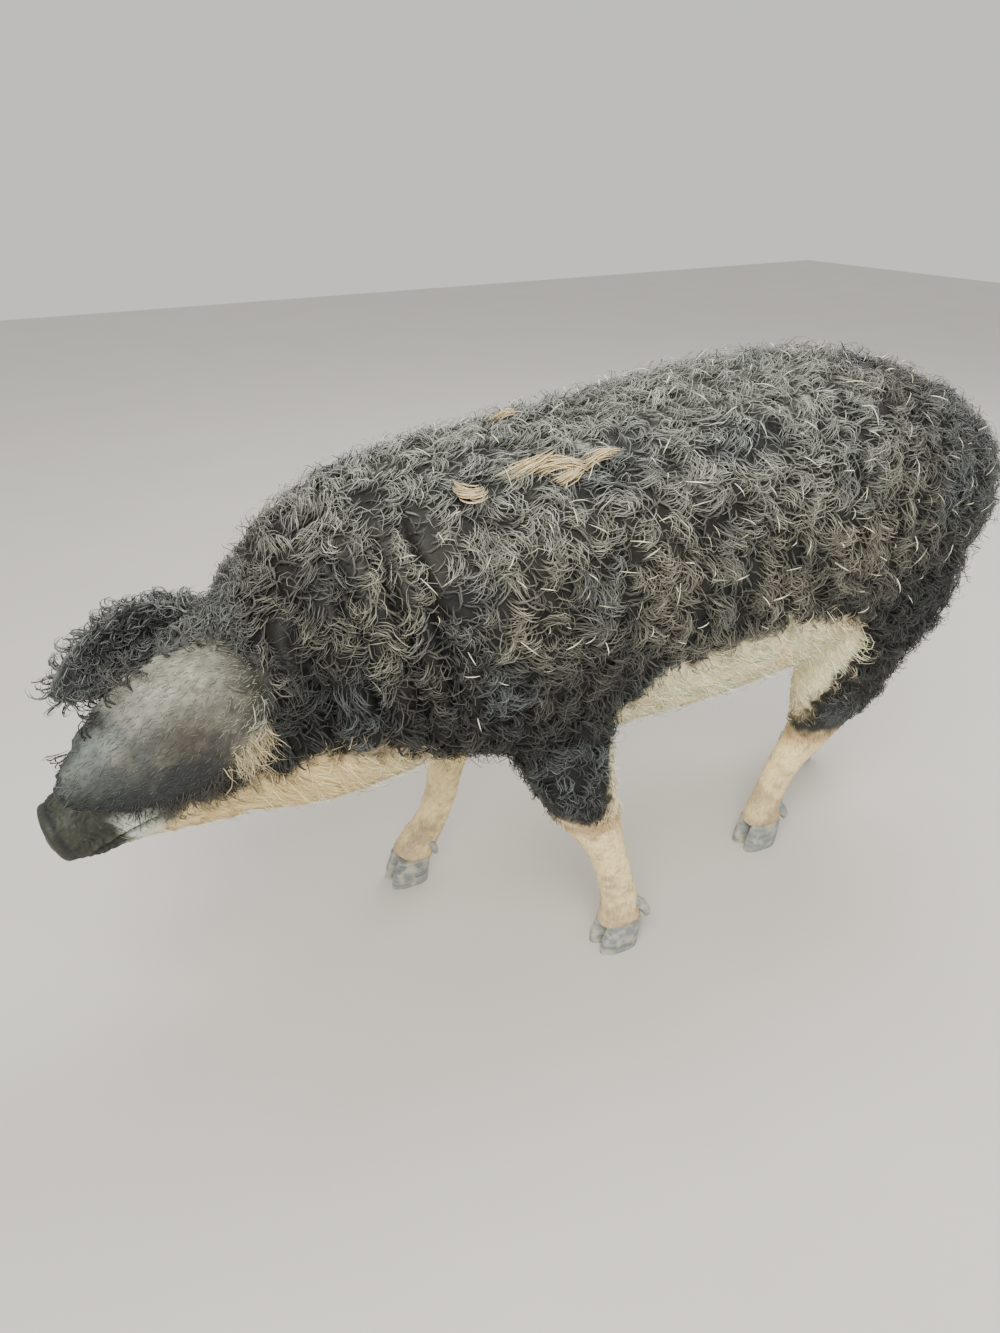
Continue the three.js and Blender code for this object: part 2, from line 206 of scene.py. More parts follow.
def rings_of(rows, count, sides, grow=0.0):
    """Rings across a path: at angle a the point lies half * cos(a)^(2/power) to the side and
    reach * sin(a)^(2/power) up, both grown by `grow`, in the plane square to the path."""
    path = smooth(rows, count)
    centre = path[:, :3]
    half, front, back, power = path[:, 3:7].T[..., None]
    along = unit(np.gradient(centre, axis=0))
    up = unit(np.cross(along, [0.0, 1.0, 0.0]))
    across = np.cross(up, along)
    a = (np.arange(sides) + 0.5) / sides * 2 * np.pi
    c = np.sign(np.cos(a)) * np.abs(np.cos(a)) ** (2 / power)
    s = np.sign(np.sin(a)) * np.abs(np.sin(a)) ** (2 / power)
    more = grow(centre)[:, None] if callable(grow) else grow
    side = c * (half + more)
    rise = s * (np.where(s > 0, front, back) + more)
    return centre[:, None] + across[:, None] * side[..., None] + up[:, None] * rise[..., None]


def ear_frame(rows, upward, count):
    """The ear's middle points with half width, cup and thickness, and the three directions at each:
    along it, across it towards its upper edge, and through it."""
    path = smooth(rows, count)
    along = unit(np.gradient(path[:, :3], axis=0))
    wide = unit(upward - along * (along @ upward)[:, None])
    return path, along, wide, np.cross(along, wide)


def ear_rings(rows, upward, side, count, sides):
    """Rings of a leaf: s runs from -1 to 1 over the width, the middle is bent into a cup by cup * s^2, and
    the thickness follows the square root of sin, which keeps the edges blunt."""
    path, along, wide, through = ear_frame(rows, upward, count)
    a = (np.arange(sides) + 0.5) / sides * 2 * np.pi
    s = np.cos(a)
    half, cup, depth = path[:, 3:6].T[..., None]
    off = -side * cup * s * s + np.sign(np.sin(a)) * np.sqrt(np.abs(np.sin(a))) * depth / 2
    return path[:, None, :3] + wide[:, None] * (half * s)[..., None] + through[:, None] * off[..., None]


def tube(rings):
    """Vertices and faces of a closed skin over rings, with one point closing each end."""
    n, m = rings.shape[:2]
    i, j = np.meshgrid(np.arange(n - 1), np.arange(m), indexing="ij")
    k = (j + 1) % m
    quads = np.stack([i * m + j, i * m + k, (i + 1) * m + k, (i + 1) * m + j], -1).reshape(-1, 4)
    j = np.arange(m)
    k = (j + 1) % m
    first = np.stack([np.full(m, n * m), k, j], -1)
    last = np.stack([np.full(m, n * m + 1), (n - 1) * m + j, (n - 1) * m + k], -1)
    points = np.concatenate([rings.reshape(-1, 3), rings[:1].mean(1), rings[-1:].mean(1)])
    return points, quads.tolist() + first.tolist() + last.tolist()


def mesh_of(name, points, faces):
    """A smooth object at the origin from points in the animal's frame in millimetres, set over the solids."""
    mesh = bpy.data.meshes.new(name)
    mesh.from_pydata(((points + SHIFT) / 1000).tolist(), [], faces)
    mesh.update()
    mesh.shade_smooth()
    obj = bpy.data.objects.new(name, mesh)
    bpy.context.scene.collection.objects.link(obj)
    return obj


def joined(pieces):
    """One list of points and one of faces from several pairs of them."""
    points, faces, count = [], [], 0
    for p, f in pieces:
        points.append(p)
        faces += [[v + count for v in face] for face in f]
        count += len(p)
    return np.concatenate(points), faces


def read_points(mesh):
    """The mesh's vertex places as an array, back in millimetres in the animal's frame."""
    flat = np.empty(len(mesh.vertices) * 3)
    mesh.vertices.foreach_get("co", flat)
    return flat.reshape(-1, 3) * 1000 - SHIFT


def read_normals(mesh):
    """The mesh's vertex normals as an array."""
    flat = np.empty(len(mesh.vertices) * 3)
    mesh.vertex_normals.foreach_get("vector", flat)
    return flat.reshape(-1, 3)


def inset(p):
    """Growth of the rings, below 0: the depth of the coat on body and neck, 2 mm on face and lower legs."""
    x, z = p[..., 0], p[..., 2]
    return -FACE_DEPTH - (COAT_DEPTH - FACE_DEPTH) * step(COAT_FROM, COAT_FULL, x) * step(265, 390, z)


def ball(centre, radius, rows=20, sides=28):
    """Rings of a sphere, from one pole on the X axis to the other."""
    a = np.linspace(np.pi, 0, rows + 2)[1:-1, None]
    b = np.linspace(0, 2 * np.pi, sides + 1)[None, :-1]
    return centre + radius * np.stack([np.cos(a) + 0 * b, np.sin(a) * np.cos(b), np.sin(a) * np.sin(b)], -1)


def inset_trunk(p):
    """Growth of the trunk's rings: as inset, but the same at every height."""
    return -FACE_DEPTH - (COAT_DEPTH - FACE_DEPTH) * step(COAT_FROM, COAT_FULL, p[:, 0])


core = np.array(BODY, float)
core[:, 0] -= COAT_DEPTH * step(700, 850, core[:, 0])
pieces = [
    tube(rings_of(core, 60, 48, inset_trunk)),
    tube(rings_of(HEAD, 60, 48, inset)),
    tube(rings_of(TAIL, 40, 16, -1.0)),
]
pieces += [tube(ear_rings(*ear, 48, 56)) for ear in EARS.values()]
pieces += [tube(ball(EYE * [1, side, 1] + [6, -side * 6, 3], SOCKET_RADIUS)) for side in (-1, 1)]
pieces += [tube(rings_of(rows, 60, 32, inset)) for rows in LEGS.values()]
skin = mesh_of("skin", *joined(pieces))
remesh = skin.modifiers.new("join", "REMESH")
remesh.mode = "VOXEL"
remesh.voxel_size = VOXEL / 1000
ease = skin.modifiers.new("ease", "SMOOTH")
ease.factor, ease.iterations = 0.5, 5
whole = bpy.data.meshes.new_from_object(skin.evaluated_get(bpy.context.evaluated_depsgraph_get()))
skin.modifiers.clear()
skin.data = whole

# The muzzle gets a mesh twice as fine, into which the nostrils, the rim of the disc, the rings of bristly
# wrinkles behind it, the mouth with its lips, and the creases of cheek and neck are pressed.
SNOUT_END = np.array([-592.0, 0.0, 336.0])
SNOUT_AXIS = unit(np.array([0.94, 0.0, 0.34]))
NOSTRIL_OUT, NOSTRIL_RADIUS, NOSTRIL_DEPTH = 17.0, 8.5, 12.0
MOUTH_FROM, MOUTH_TO = (-574.0, 308.0), (-468.0, 362.0)
MOUTH_DEPTH, MOUTH_WIDTH = 5.5, 3.0
WRINKLE_PITCH, WRINKLE_HEIGHT = 7.5, 2.3
CREASES, CREASE_WIDTH, CREASE_DEPTH = [-292.0, -236.0, -186.0, -146.0], 8.5, 13.0
MUZZLE_BACK, MUZZLE_TOP = -472, 408
fine = bmesh.new()
fine.from_mesh(skin.data)
muzzle = [
    edge
    for edge in fine.edges
    if all(v.co.x * 1000 - SHIFT[0] < MUZZLE_BACK for v in edge.verts)
    and all(v.co.z * 1000 - SHIFT[2] < MUZZLE_TOP for v in edge.verts)
]
bmesh.ops.subdivide_edges(fine, edges=muzzle, cuts=1, use_grid_fill=True)
bmesh.ops.triangulate(fine, faces=[face for face in fine.faces if len(face.verts) > 4])
fine.to_mesh(skin.data)
fine.free()


def waves(p, scale, seed):
    """Soft random field of about -1 to 1: a third of the sum of six sine waves in seeded directions and of
    about that length."""
    rng = np.random.default_rng(seed)
    total = np.zeros(p.shape[:-1])
    for _ in range(6):
        k = unit(rng.normal(size=3)) * 2 * np.pi / (scale * rng.uniform(0.6, 1.6))
        total += np.sin(p @ k + rng.uniform(0, 2 * np.pi))
    return total / 3.0


def crease(p):
    """Depth share of the upright folds of the neck: bells across X at each fold, on the sides only."""
    x = p[..., 0] + 0.18 * (p[..., 2] - 500) + 5 * waves(p, 90, 11)
    fold = sum(hump(x, centre, CREASE_WIDTH) for centre in CREASES)
    return fold * step(60, 120, np.abs(p[..., 1])) * step(330, 420, p[..., 2])


def sloped(p):
    """Distance back from the disc of the snout along the muzzle."""
    return (p - SNOUT_END) @ SNOUT_AXIS


place, normal = read_points(skin.data), read_normals(skin.data)
x, y, z = place.T
back = sloped(place)
off_disc = place - SNOUT_END - back[:, None] * SNOUT_AXIS
round_nostril = np.hypot(np.abs(off_disc[:, 1]) - NOSTRIL_OUT, off_disc[:, 2] - 1)
at_disc = 1 - step(8, 16, back)
pit = (1 - step(0.35, 1.15, round_nostril / NOSTRIL_RADIUS)) * at_disc
press = NOSTRIL_DEPTH * pit - 1.8 * hump(round_nostril, NOSTRIL_RADIUS + 4, 3) * at_disc
unrolled = back + 8 * waves(place, 40, 12) + 2.5 * waves(place, 14, 20)
wrinkle = np.sin(2 * np.pi * unrolled / WRINKLE_PITCH)
muzzle_side = step(8, 20, back) * (1 - step(70, 100, back))
raise_by = 2.4 * hump(back, 6, 4) - 1.8 * hump(back, 15, 4)
strength = 0.35 + 0.5 * step(-0.2, 0.6, waves(place, 34, 14))
raise_by += strength * WRINKLE_HEIGHT * wrinkle * muzzle_side
mouth_z = np.interp(x, *zip(MOUTH_FROM, MOUTH_TO))
in_mouth = step(-578, -570, x) * (1 - step(-474, -460, x)) * step(6, 14, np.abs(y))
from_lip = z - mouth_z
lips = 2.2 * hump(from_lip, 8, 5) + 2.4 * hump(from_lip, -8, 5)
raise_by += in_mouth * (lips - MOUTH_DEPTH * hump(from_lip, 0, MOUTH_WIDTH))
raise_by -= CREASE_DEPTH * crease(place) + 2.0 * hump(x + 0.3 * z, -325, 6) * (1 - step(400, 430, z))
place += SNOUT_AXIS * press[:, None] + normal * (raise_by * (1 - pit))[:, None]
taper = 1 - np.sqrt(1 - 0.36 * np.clip(1 - back / 30, 0, 1) ** 2)
place -= off_disc * (taper * (1 - step(60, 80, back)))[:, None]
skin.data.vertices.foreach_set("co", ((place + SHIFT) / 1000).ravel())
skin.data.update()
skin.data.shade_smooth()

# Markings of hide and hair, one rule for both: black wool above, dusty grey on the back, partly painted light
# from above, brown on shoulder and side, blond under throat, belly and flank and down the lower legs, slate
# ears, olive snout and pale lip.
BACK_GREY = np.array([0.232, 0.242, 0.215])
SIDE_BROWN = np.array([0.192, 0.177, 0.139])
LOW_BLACK = np.array([0.018, 0.021, 0.020])
BLUE_BLACK_SHEEN = np.array([0.078, 0.092, 0.096])
BLOND = np.array([1.0, 0.90, 0.58])
GOLD = np.array([1.0, 0.78, 0.41])
LEG_CREAM = np.array([1.0, 0.81, 0.43])
RUST = np.array([0.42, 0.25, 0.12])
DUN = np.array([0.44, 0.33, 0.21])
SLATE = np.array([0.058, 0.067, 0.062])
EAR_GREY = np.array([0.240, 0.234, 0.192])
EAR_BROWN = np.array([0.060, 0.053, 0.043])
NIGHT = np.array([0.016, 0.019, 0.021])
SNOUT_OLIVE = np.array([0.040, 0.044, 0.033])
PALE_LIP = np.array([0.70, 0.76, 0.66])
POLL_GREY = np.array([0.150, 0.160, 0.158])
# Places along the body, from snout to rump, and the height at which black turns to blond there.
EDGE = np.array(
    [
        [-560, 322], [-470, 354], [-386, 388], [-350, 400], [-318, 416], [-288, 424], [-256, 426],
        [-210, 414], [-150, 372], [-100, 300], [45, 300], [70, 345], [95, 405], [140, 452], [250, 476],
        [320, 481], [420, 466], [480, 452], [520, 400], [600, 372],
    ]
)
HIND_Z = [40, 196, 240, 300, 370, 450, 550]
HIND_X = {-1: [452, 516, 534, 550, 574, 608, 650], 1: [690, 738, 724, 696, 668, 656, 656]}
FORE_HEM, HOCK_HEM = 246, 212
EAR_STEPS = 30


def edge_height(x):
    """Height of the blond marking's edge, straight between the places of the table."""
    return np.interp(x, *EDGE.T)


def pale_share(p):
    """1 in blond, 0 in black: below the edge of the body's marking, unless on the black upper legs, which
    end at the fore hem and the hock hem."""
    x, y, z = p[..., 0], p[..., 1], p[..., 2]
    ragged = 9 * waves(p, 60, 1) + 6 * waves(p, 22, 2)
    below = 1 - step(-19, 17, z - edge_height(x) + ragged)
    fore = step(-12, 12, z - FORE_HEM + ragged) * step(-120, -90, x) * (1 - step(56, 84, x + ragged))
    fore *= step(92, 112, np.abs(y))
    middle = np.where(y < 0, np.interp(z, HIND_Z, HIND_X[-1]), np.interp(z, HIND_Z, HIND_X[1]))
    hind = step(-12, 12, z - HOCK_HEM + 0.6 * ragged) * step(-14, 14, x - middle + 66 + ragged)
    hind *= step(300, 340, x)
    hind *= np.maximum(step(58, 84, np.abs(y)), step(20, 60, x - middle))
    return below * (1 - fore) * (1 - hind)


def ear_place(name, p):
    """How far a place belongs to an ear (1 on it), how far along from root to tip, and the share across it,
    from -1 at the lower edge to 1 at the upper. Belonging falls with the distance from the cupped leaf."""
    rows, upward, side = EARS[name]
    path, along, wide, through = ear_frame(rows, upward, EAR_STEPS)
    away = p[:, None] - path[None, :, :3]
    k = np.abs((away * along).sum(-1)).argmin(1)
    i = np.arange(len(p))
    off = away[i, k]
    across = (off * wide[k]).sum(-1) / path[k, 3]
    depth = np.abs((off * through[k]).sum(-1) + side * path[k, 4] * np.minimum(across**2, 1.3))
    beyond = np.abs((off * along[k]).sum(-1))
    on = (1 - step(1.02, 1.2, np.abs(across))) * (1 - step(11, 19, depth)) * (1 - step(12, 20, beyond))
    share = k / (EAR_STEPS - 1)
    return on * step(0.05, 0.16, share), share, across


def mixed(colours, colour, share):
    """Colours moved towards another, or towards others, by a share at each place."""
    return colours + (colour - colours) * np.clip(share, 0, 1)[..., None]


def black_wool(p):
    """Colour of the black parts: brown on the side and dusty grey on the back, the grey partly painted light
    from above; darker low down and on the rump; painted shade in the folds and behind the ear; patches of
    painted bluish sheen, and more patches by soft random fields."""
    x, z = p[:, 0], p[:, 2]
    # Grey on the top of the back: dust, and painted light from above on the top.
    dust_and_top_light = step(590, 720, z) * (1 - 0.85 * step(410, 600, x))
    colours = mixed(np.broadcast_to(SIDE_BROWN, p.shape), BACK_GREY, dust_and_top_light)
    colours = mixed(colours, LOW_BLACK * 2, 0.78 * step(430, 620, x))
    colours = mixed(colours, LOW_BLACK, 0.95 * (1 - step(430, 625, z + 35 * waves(p, 110, 5))))
    # Blue-black patches: painted bluish sheen on the black wool.
    colours = mixed(colours, BLUE_BLACK_SHEEN, 0.65 * step(0.1, 0.9, waves(p, 95, 3) + 0.7 * step(560, 760, x)))
    colours = mixed(colours, LOW_BLACK, 0.5 * step(0.2, 1.0, waves(p, 60, 6)))
    colours = mixed(colours, LOW_BLACK * 1.8, 0.5 * (1 - step(-330, -210, x)))
    # Painted shade behind and under the ear.
    colours = mixed(colours, LOW_BLACK, 0.85 * hump(x, -305, 45) * (1 - step(520, 600, z)))
    # Painted shade in the folds of the neck.
    colours = mixed(colours, LOW_BLACK * 0.5, 0.95 * crease(p))
    return colours * (1 + 0.32 * waves(p, 30, 15) + 0.15 * waves(p, 14, 16))[:, None]


def blond_hair(p):
    """Colour of the blond parts: pale on belly and flank, golden on throat, cream and smudged with earth down
    the legs, and rusty just under the black of the upper legs."""
    x, y, z = p.T
    pale = mixed(np.broadcast_to(BLOND, p.shape), GOLD, 1 - step(-330, -120, x))
    pale = mixed(pale, LEG_CREAM, 1 - step(215, 300, z))
    pale = mixed(pale, GOLD * 0.75, 0.6 * (1 - step(60, 130, z)) + 0.4 * step(0.2, 1.0, waves(p, 70, 13)))
    pale = mixed(pale, GOLD * 0.75, 0.35 * (1 - step(-200, -80, x)))
    smudge = 0.75 * (1 - step(60, 170, z)) + 0.6 * waves(p, 38, 24) + 0.3 * waves(p, 14, 25)
    pale = mixed(pale, DUN, 0.75 * step(0.1, 1.0, smudge) * (1 - step(215, 290, z)))
    hem = np.where(x > 300, HOCK_HEM, FORE_HEM)
    return mixed(pale, RUST, 0.75 * hump(z, hem - 8, 13) * step(40, 70, np.abs(y)))


def ear_felt(p, t, s):
    """Colour of the left ear at share t along it and s across: grey, slate towards the tip, with a dark band
    along the lower edge, a soft painted highlight above it, and a pale patch where the fringe grows."""
    felt = np.broadcast_to(EAR_GREY, p.shape)
    felt = mixed(felt, EAR_BROWN, 0.95 * hump(t, 0.46, 0.16) * (1 - step(-0.1, 0.4, s)))
    felt = felt * (1 + 0.28 * waves(p, 26, 22) + 0.16 * waves(p, 11, 23))[:, None]
    felt = mixed(felt, SLATE, step(0.46, 0.66, t + 0.08 * waves(p, 50, 7)))
    # Painted highlight on the slate above the dark band.
    painted_shine = step(0.5, 0.65, t) * hump(s + 0.1 * waves(p, 40, 19), 0.45, 0.2)
    felt = mixed(felt, SLATE * 2.7, 0.8 * painted_shine)
    lower_band = (1 - step(-0.6, -0.1, s + 0.14 * waves(p, 34, 9))) * step(0.30, 0.46, t)
    felt = mixed(felt, NIGHT, 0.9 * lower_band)
    felt = mixed(felt, NIGHT, 0.85 * step(0.84, 0.94, t))
    felt = mixed(felt, BLOND * 0.6, 0.7 * (1 - step(-0.9, -0.6, s)) * hump(t, 0.28, 0.06))
    return mixed(felt, LOW_BLACK * 2.5, 1 - step(0.07, 0.16, t + 0.04 * waves(p, 30, 17)))


def markings(p):
    """Colour at a place: black wool or blond hair by the share of blond, then muzzle, lip, ears and poll."""
    x, y, z = p.T
    colours = mixed(black_wool(p), blond_hair(p), pale_share(p))
    back = sloped(p)
    face = 1 - step(-500, -455, x)
    colours = mixed(colours, SLATE * 0.7, face * step(14, 46, z - edge_height(x)))
    lip = face * (1 - step(346, 372, z - 0.10 * (x + 592))) * step(58, 80, back) * (1 - step(118, 150, back))
    colours = mixed(colours, PALE_LIP, lip)
    colours = mixed(colours, SNOUT_OLIVE, 1 - step(64, 84, back + 7 * waves(p, 30, 8)))
    left, t, s = ear_place("left", p)
    colours = mixed(colours, ear_felt(p, t, s), left)
    poll = (1 - step(-350, -320, x)) * step(485, 510, z)
    poll *= 0.6 * (1 - step(60, 100, np.abs(y))) * (1 - left)
    return mixed(colours, POLL_GREY, np.maximum(ear_place("right", p)[0], poll))


def paint_points(mesh, colours):
    """Puts one colour a vertex on the mesh."""
    layer = mesh.color_attributes.new("markings", "FLOAT_COLOR", "POINT")
    full = np.concatenate([np.clip(colours, 0, 1), np.ones((len(colours), 1))], 1)
    layer.data.foreach_set("color", full.astype(np.float32).ravel())


# Painted shade: under the wool the hide is darker than the hair, most of all in black, so that gaps between
# the locks look like shadow. The pits of the muzzle, its mouth slit, the wrinkles' furrows and the groove
# behind the disc get painted shade too, and the wrinkles' ridges a painted highlight.
colours = markings(place)
# Painted shade under the wool: the hide darkened by 0.9 in black and 0.12 in blond.
shade_under_wool = step(-425, -330, x) * step(225, 300, z)
colours = colours * (1 - shade_under_wool * np.where(colours.mean(1) > 0.3, 0.12, 0.9))[:, None]
# Painted shade in the nostrils and along the mouth slit.
colours = mixed(colours, NIGHT * 0.5, 0.9 * pit + 0.95 * in_mouth * hump(from_lip, 0, 3.2))
# Painted shade in the furrows between the muzzle's wrinkles.
furrow_shade = muzzle_side * step(0.1, 0.9, -wrinkle) * step(-0.6, 0.4, waves(place, 30, 18))
colours = mixed(colours, SNOUT_OLIVE * 0.3, 0.7 * furrow_shade)
# Painted highlight on the ridges of the muzzle's wrinkles.
ridge_highlight = muzzle_side * step(0.3, 1.0, wrinkle) * step(-0.2, 0.6, waves(place, 26, 21))
colours = mixed(colours, SNOUT_OLIVE * 2.4, 0.35 * ridge_highlight)
# Painted shade in the groove behind the rim of the disc.
colours = mixed(colours, NIGHT, 0.8 * hump(back, 15, 4))
paint_points(skin.data, colours)


class Socket:
    """A node's output that takes part in expressions; numbers on either side become the node's own values."""

    def __init__(self, tree, value=None):
        self.tree, self.value = tree, value

    def node(self, kind, settings, output, values):
        """A node of a type, its settings made first, then its sockets by number or name, and one output."""
        made = self.tree.nodes.new(kind)
        for key, value in settings.items():
            setattr(made, key, value)
        for key, value in values.items():
            if isinstance(value, Socket):
                self.tree.links.new(value.value, made.inputs[key])
            else:
                made.inputs[key].default_value = value
        return Socket(self.tree, made.outputs[output])

    def math(self, operation, a, b):
        """A Math node on two values."""
        return self.node("ShaderNodeMath", {"operation": operation}, 0, {0: a, 1: b})

    def __add__(self, other):
        return self.math("ADD", self, other)

    def __mul__(self, other):
        return self.math("MULTIPLY", self, other)

    __radd__, __rmul__ = __add__, __mul__

    def between(self, low, high, first=0.0, last=1.0):
        """First at low and last at high, straight between and held outside."""
        values = {0: self, 1: low, 2: high, 3: first, 4: last}
        return self.node("ShaderNodeMapRange", {"clamp": True}, 0, values)

    def place(self):
        """The object's own coordinates in metres."""
        return self.node("ShaderNodeTexCoord", {}, "Object", {})

    def marked(self):
        """The colours that paint_points put on the mesh."""
        return self.node("ShaderNodeVertexColor", {"layer_name": "markings"}, 0, {})

    def noise(self, scale, detail=3.0):
        """Soft random value of about 0.3 to 0.7 at this place, scale cells to its unit of length."""
        return self.node("ShaderNodeTexNoise", {}, 0, {"Vector": self, "Scale": scale, "Detail": detail})

    def stretched(self, scale):
        """This place with each coordinate multiplied."""
        return self.node("ShaderNodeMapping", {}, 0, {"Vector": self, "Scale": scale})

    def colours(self, first, second):
        """Colour that runs from the first to the second as this goes from 0 to 1."""
        return self.node("ShaderNodeMix", {"data_type": "RGBA"}, 2, {0: self, 6: first, 7: second})

    def dimmed(self, light):
        """This colour times a light between 0 and more than 1."""
        grey = self.node("ShaderNodeCombineColor", {}, 0, {0: light, 1: light, 2: light})
        mode = {"data_type": "RGBA", "blend_type": "MULTIPLY"}
        return self.node("ShaderNodeMix", mode, 2, {0: 1.0, 6: self, 7: grey})

    def bump(self, strength, distance):
        """The surface's direction, leaned as this height times a distance would lean it."""
        values = {"Strength": strength, "Distance": distance, "Height": self}
        return self.node("ShaderNodeBump", {}, 0, values)


def finish(name, fixed):
    """A material, its shader with the sockets that stay the same, and the start of its expressions."""
    material = bpy.data.materials.new(name)
    material.use_nodes = True
    shader = material.node_tree.nodes["Principled BSDF"]
    for key, value in fixed.items():
        shader.inputs[key].default_value = value
    return material, shader, Socket(material.node_tree)


def feed(shader, inputs):
    """Links expressions to the shader's sockets by name."""
    for key, value in inputs.items():
        value.tree.links.new(value.value, shader.inputs[key])


hide, shader, start = finish("hide", {"Specular IOR Level": 0.3})
spot = start.place()
tint = start.marked()
streak = spot.stretched((110, 380, 150)).noise(1.0, 4.0)
pore = spot.noise(520.0, 3.0)
blotch = spot.noise(38.0, 4.0)
feed(
    shader,
    {
        "Base Color": tint.dimmed(streak.between(0.3, 0.7, 0.78, 1.2) * blotch.between(0.3, 0.7, 0.88, 1.08)),
        "Roughness": blotch.between(0.3, 0.7, 0.42, 0.68),
        "Normal": (streak + 0.5 * pore + 0.8 * blotch).bump(0.3, 0.0016),
    },
)
skin.data.materials.append(hide)
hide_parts("torso", "neck", "head", "snout", "ear_left", "ear_right", "tail", *LEGS)
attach(skin, "root")

# The wool: flat locks of fine curly hair, two to four centimetres long, that bend in arcs and lie matted in
# swirls over body, neck and upper legs. Throat and belly have the same locks almost straight and finer.
UNDER_LOCKS, UNDER_RINGS = 9500, 3
WOOL_CLUMPS, PER_CLUMP, CLUMP_REACH = 2700, 16, 15.0
WOOL_RINGS = 4
LOCK_HEIGHT, LEAN, SUNK, CRIMPS = 0.42, 0.7, 3.0, 2.1
SET_BACK, GROUP_CELL = 10, 14.0
MOST_TRIANGLES = 195000


def roots_on(mesh, count, weight, rng):
    """Even random places on a surface: triangles in the order of a space-filling curve, with equal steps of
    weighted area along that order, and a random point inside the triangle of each step."""
    mesh.calc_loop_triangles()
    tri = np.empty(len(mesh.loop_triangles) * 3, int)
    mesh.loop_triangles.foreach_get("vertices", tri)
    tri = tri.reshape(-1, 3)
    points, normals = read_points(mesh), read_normals(mesh)
    corner = points[tri]
    middle = corner.mean(1)
    area = np.linalg.norm(np.cross(corner[:, 1] - corner[:, 0], corner[:, 2] - corner[:, 0]), axis=1) / 2
    cell = np.clip((middle - middle.min(0)) / GROUP_CELL, 0, 255).astype(np.int64)
    code = sum(((cell[:, a] >> b) & 1) << (3 * b + a) for a in range(3) for b in range(8))
    order = np.argsort(code, kind="stable")
    mass = np.cumsum((area * weight(middle))[order])
    at = (np.arange(count) + rng.uniform(size=count)) / count * mass[-1]
    pick = order[np.minimum(np.searchsorted(mass, at), len(order) - 1)]
    share = rng.dirichlet([1, 1, 1], count)
    where = np.einsum("ij,ijk->ik", share, corner[pick])
    return where, unit(np.einsum("ij,ijk->ik", share, normals[tri[pick]]))


def lie(p, out):
    """Direction in which the hair lies: back and down over body and neck, down the legs, towards the tip on
    the ears, laid flat on the surface."""
    x, z = p[:, 0], p[:, 2]
    down = np.where(z < 300, 1.5, 0.6)
    along = np.where(z < 280, 0.25, 0.9)
    for name in EARS:
        on = ear_place(name, p)[0]
        along, down = along + (-1.0 - along) * on, down + (0.4 - down) * on
    way = np.stack([along, np.zeros(len(p)), -down], 1)
    return unit(way - out * (way * out).sum(1)[:, None])


def unwrap(p):
    """Place on the skin's unwrap: along the body and round it for trunk and head in the upper part of the
    square, and height and angle round each leg in four columns of the lower part."""
    x, y, z = p.T
    middle = np.interp(x, [-590, -400, -200, 850], [334, 430, 503, 556])
    u = 0.01 + 0.97 * (x + 620) / 1520
    v = 0.36 + 0.62 * (np.arctan2(y, z - middle) / (2 * np.pi) + 0.5)
    paths = np.array([smooth(rows, 12)[:, :3] for rows in LEGS.values()])
    cx = np.array([np.interp(z, path[:, 2], path[:, 0]) for path in paths])
    cy = np.array([np.interp(z, path[:, 2], path[:, 1]) for path in paths])
    leg = np.hypot(x - cx, y - cy).argmin(0)
    k = np.arange(len(x))
    angle = np.arctan2(y - cy[leg, k], x - cx[leg, k]) / (2 * np.pi) + 0.5
    low = z < 300
    return np.where(low, 0.01 + 0.24 * leg + 0.2 * angle, u), np.where(low, 0.01 + 0.32 * z / 300, v)


def lock_points(roots, style, t):
    """Points of closed flat locks, ring by ring at the shares t along them. The middle line has heading
    bend * t in the plane of the skin, so that it is an arc of the given length, drawn in towards the clump's
    own line by pull * t; its height over the skin is -sunk + (lift + sunk) * sin(pi * (0.04 + 0.78 t)) plus
    flick * t^3; a ripple across it gives the crimp. The section is a low triangle, leaning by up to 0.7 to
    either side, whose half width falls as (1 - t)^0.6 after a narrow root."""
    where, out, way, drift = (v[:, None] for v in roots)
    length, lift, bend, ripple, width, flick, pull, roll = (v[:, None] for v in style)
    turn = np.where(np.abs(bend) < 0.05, 0.05, bend)
    crimp = 2 * np.pi * (CRIMPS * t + roll)
    ahead = length * np.sin(turn * t) / turn
    aside = length * (1 - np.cos(turn * t)) / turn + ripple * np.sin(crimp)
    rise = -SUNK + (lift + SUNK) * np.sin(np.pi * (0.04 + 0.78 * t)) + flick * t**3
    rise += 0.6 * ripple * np.cos(crimp)
    line = where + way * ahead[..., None] + np.cross(out, way) * aside[..., None] + out * rise[..., None]
    line = line - drift * (pull * t)[..., None]
    along = unit(np.gradient(line, axis=1))
    flat = unit(np.cross(out, along) + 1e-6)
    thick = np.cross(along, flat)
    lean = (LEAN * np.sin(roll * 9.0))[..., None]
    flat, thick = flat * np.cos(lean) + thick * np.sin(lean), thick * np.cos(lean) - flat * np.sin(lean)
    half = (width * (1 - t) ** 0.6 * np.clip(0.55 + 2.2 * t, 0, 1))[:, :-1, None, None]
    flat_at, high_at = np.array([[-1.0, 0.0, 1.0], [0.0, LOCK_HEIGHT, 0.0]])[..., None]
    body = line[:, :-1, None] + half * (flat[:, :-1, None] * flat_at + thick[:, :-1, None] * high_at)
    return np.concatenate([body.reshape(len(line), -1, 3), line[:, -1:]], 1)


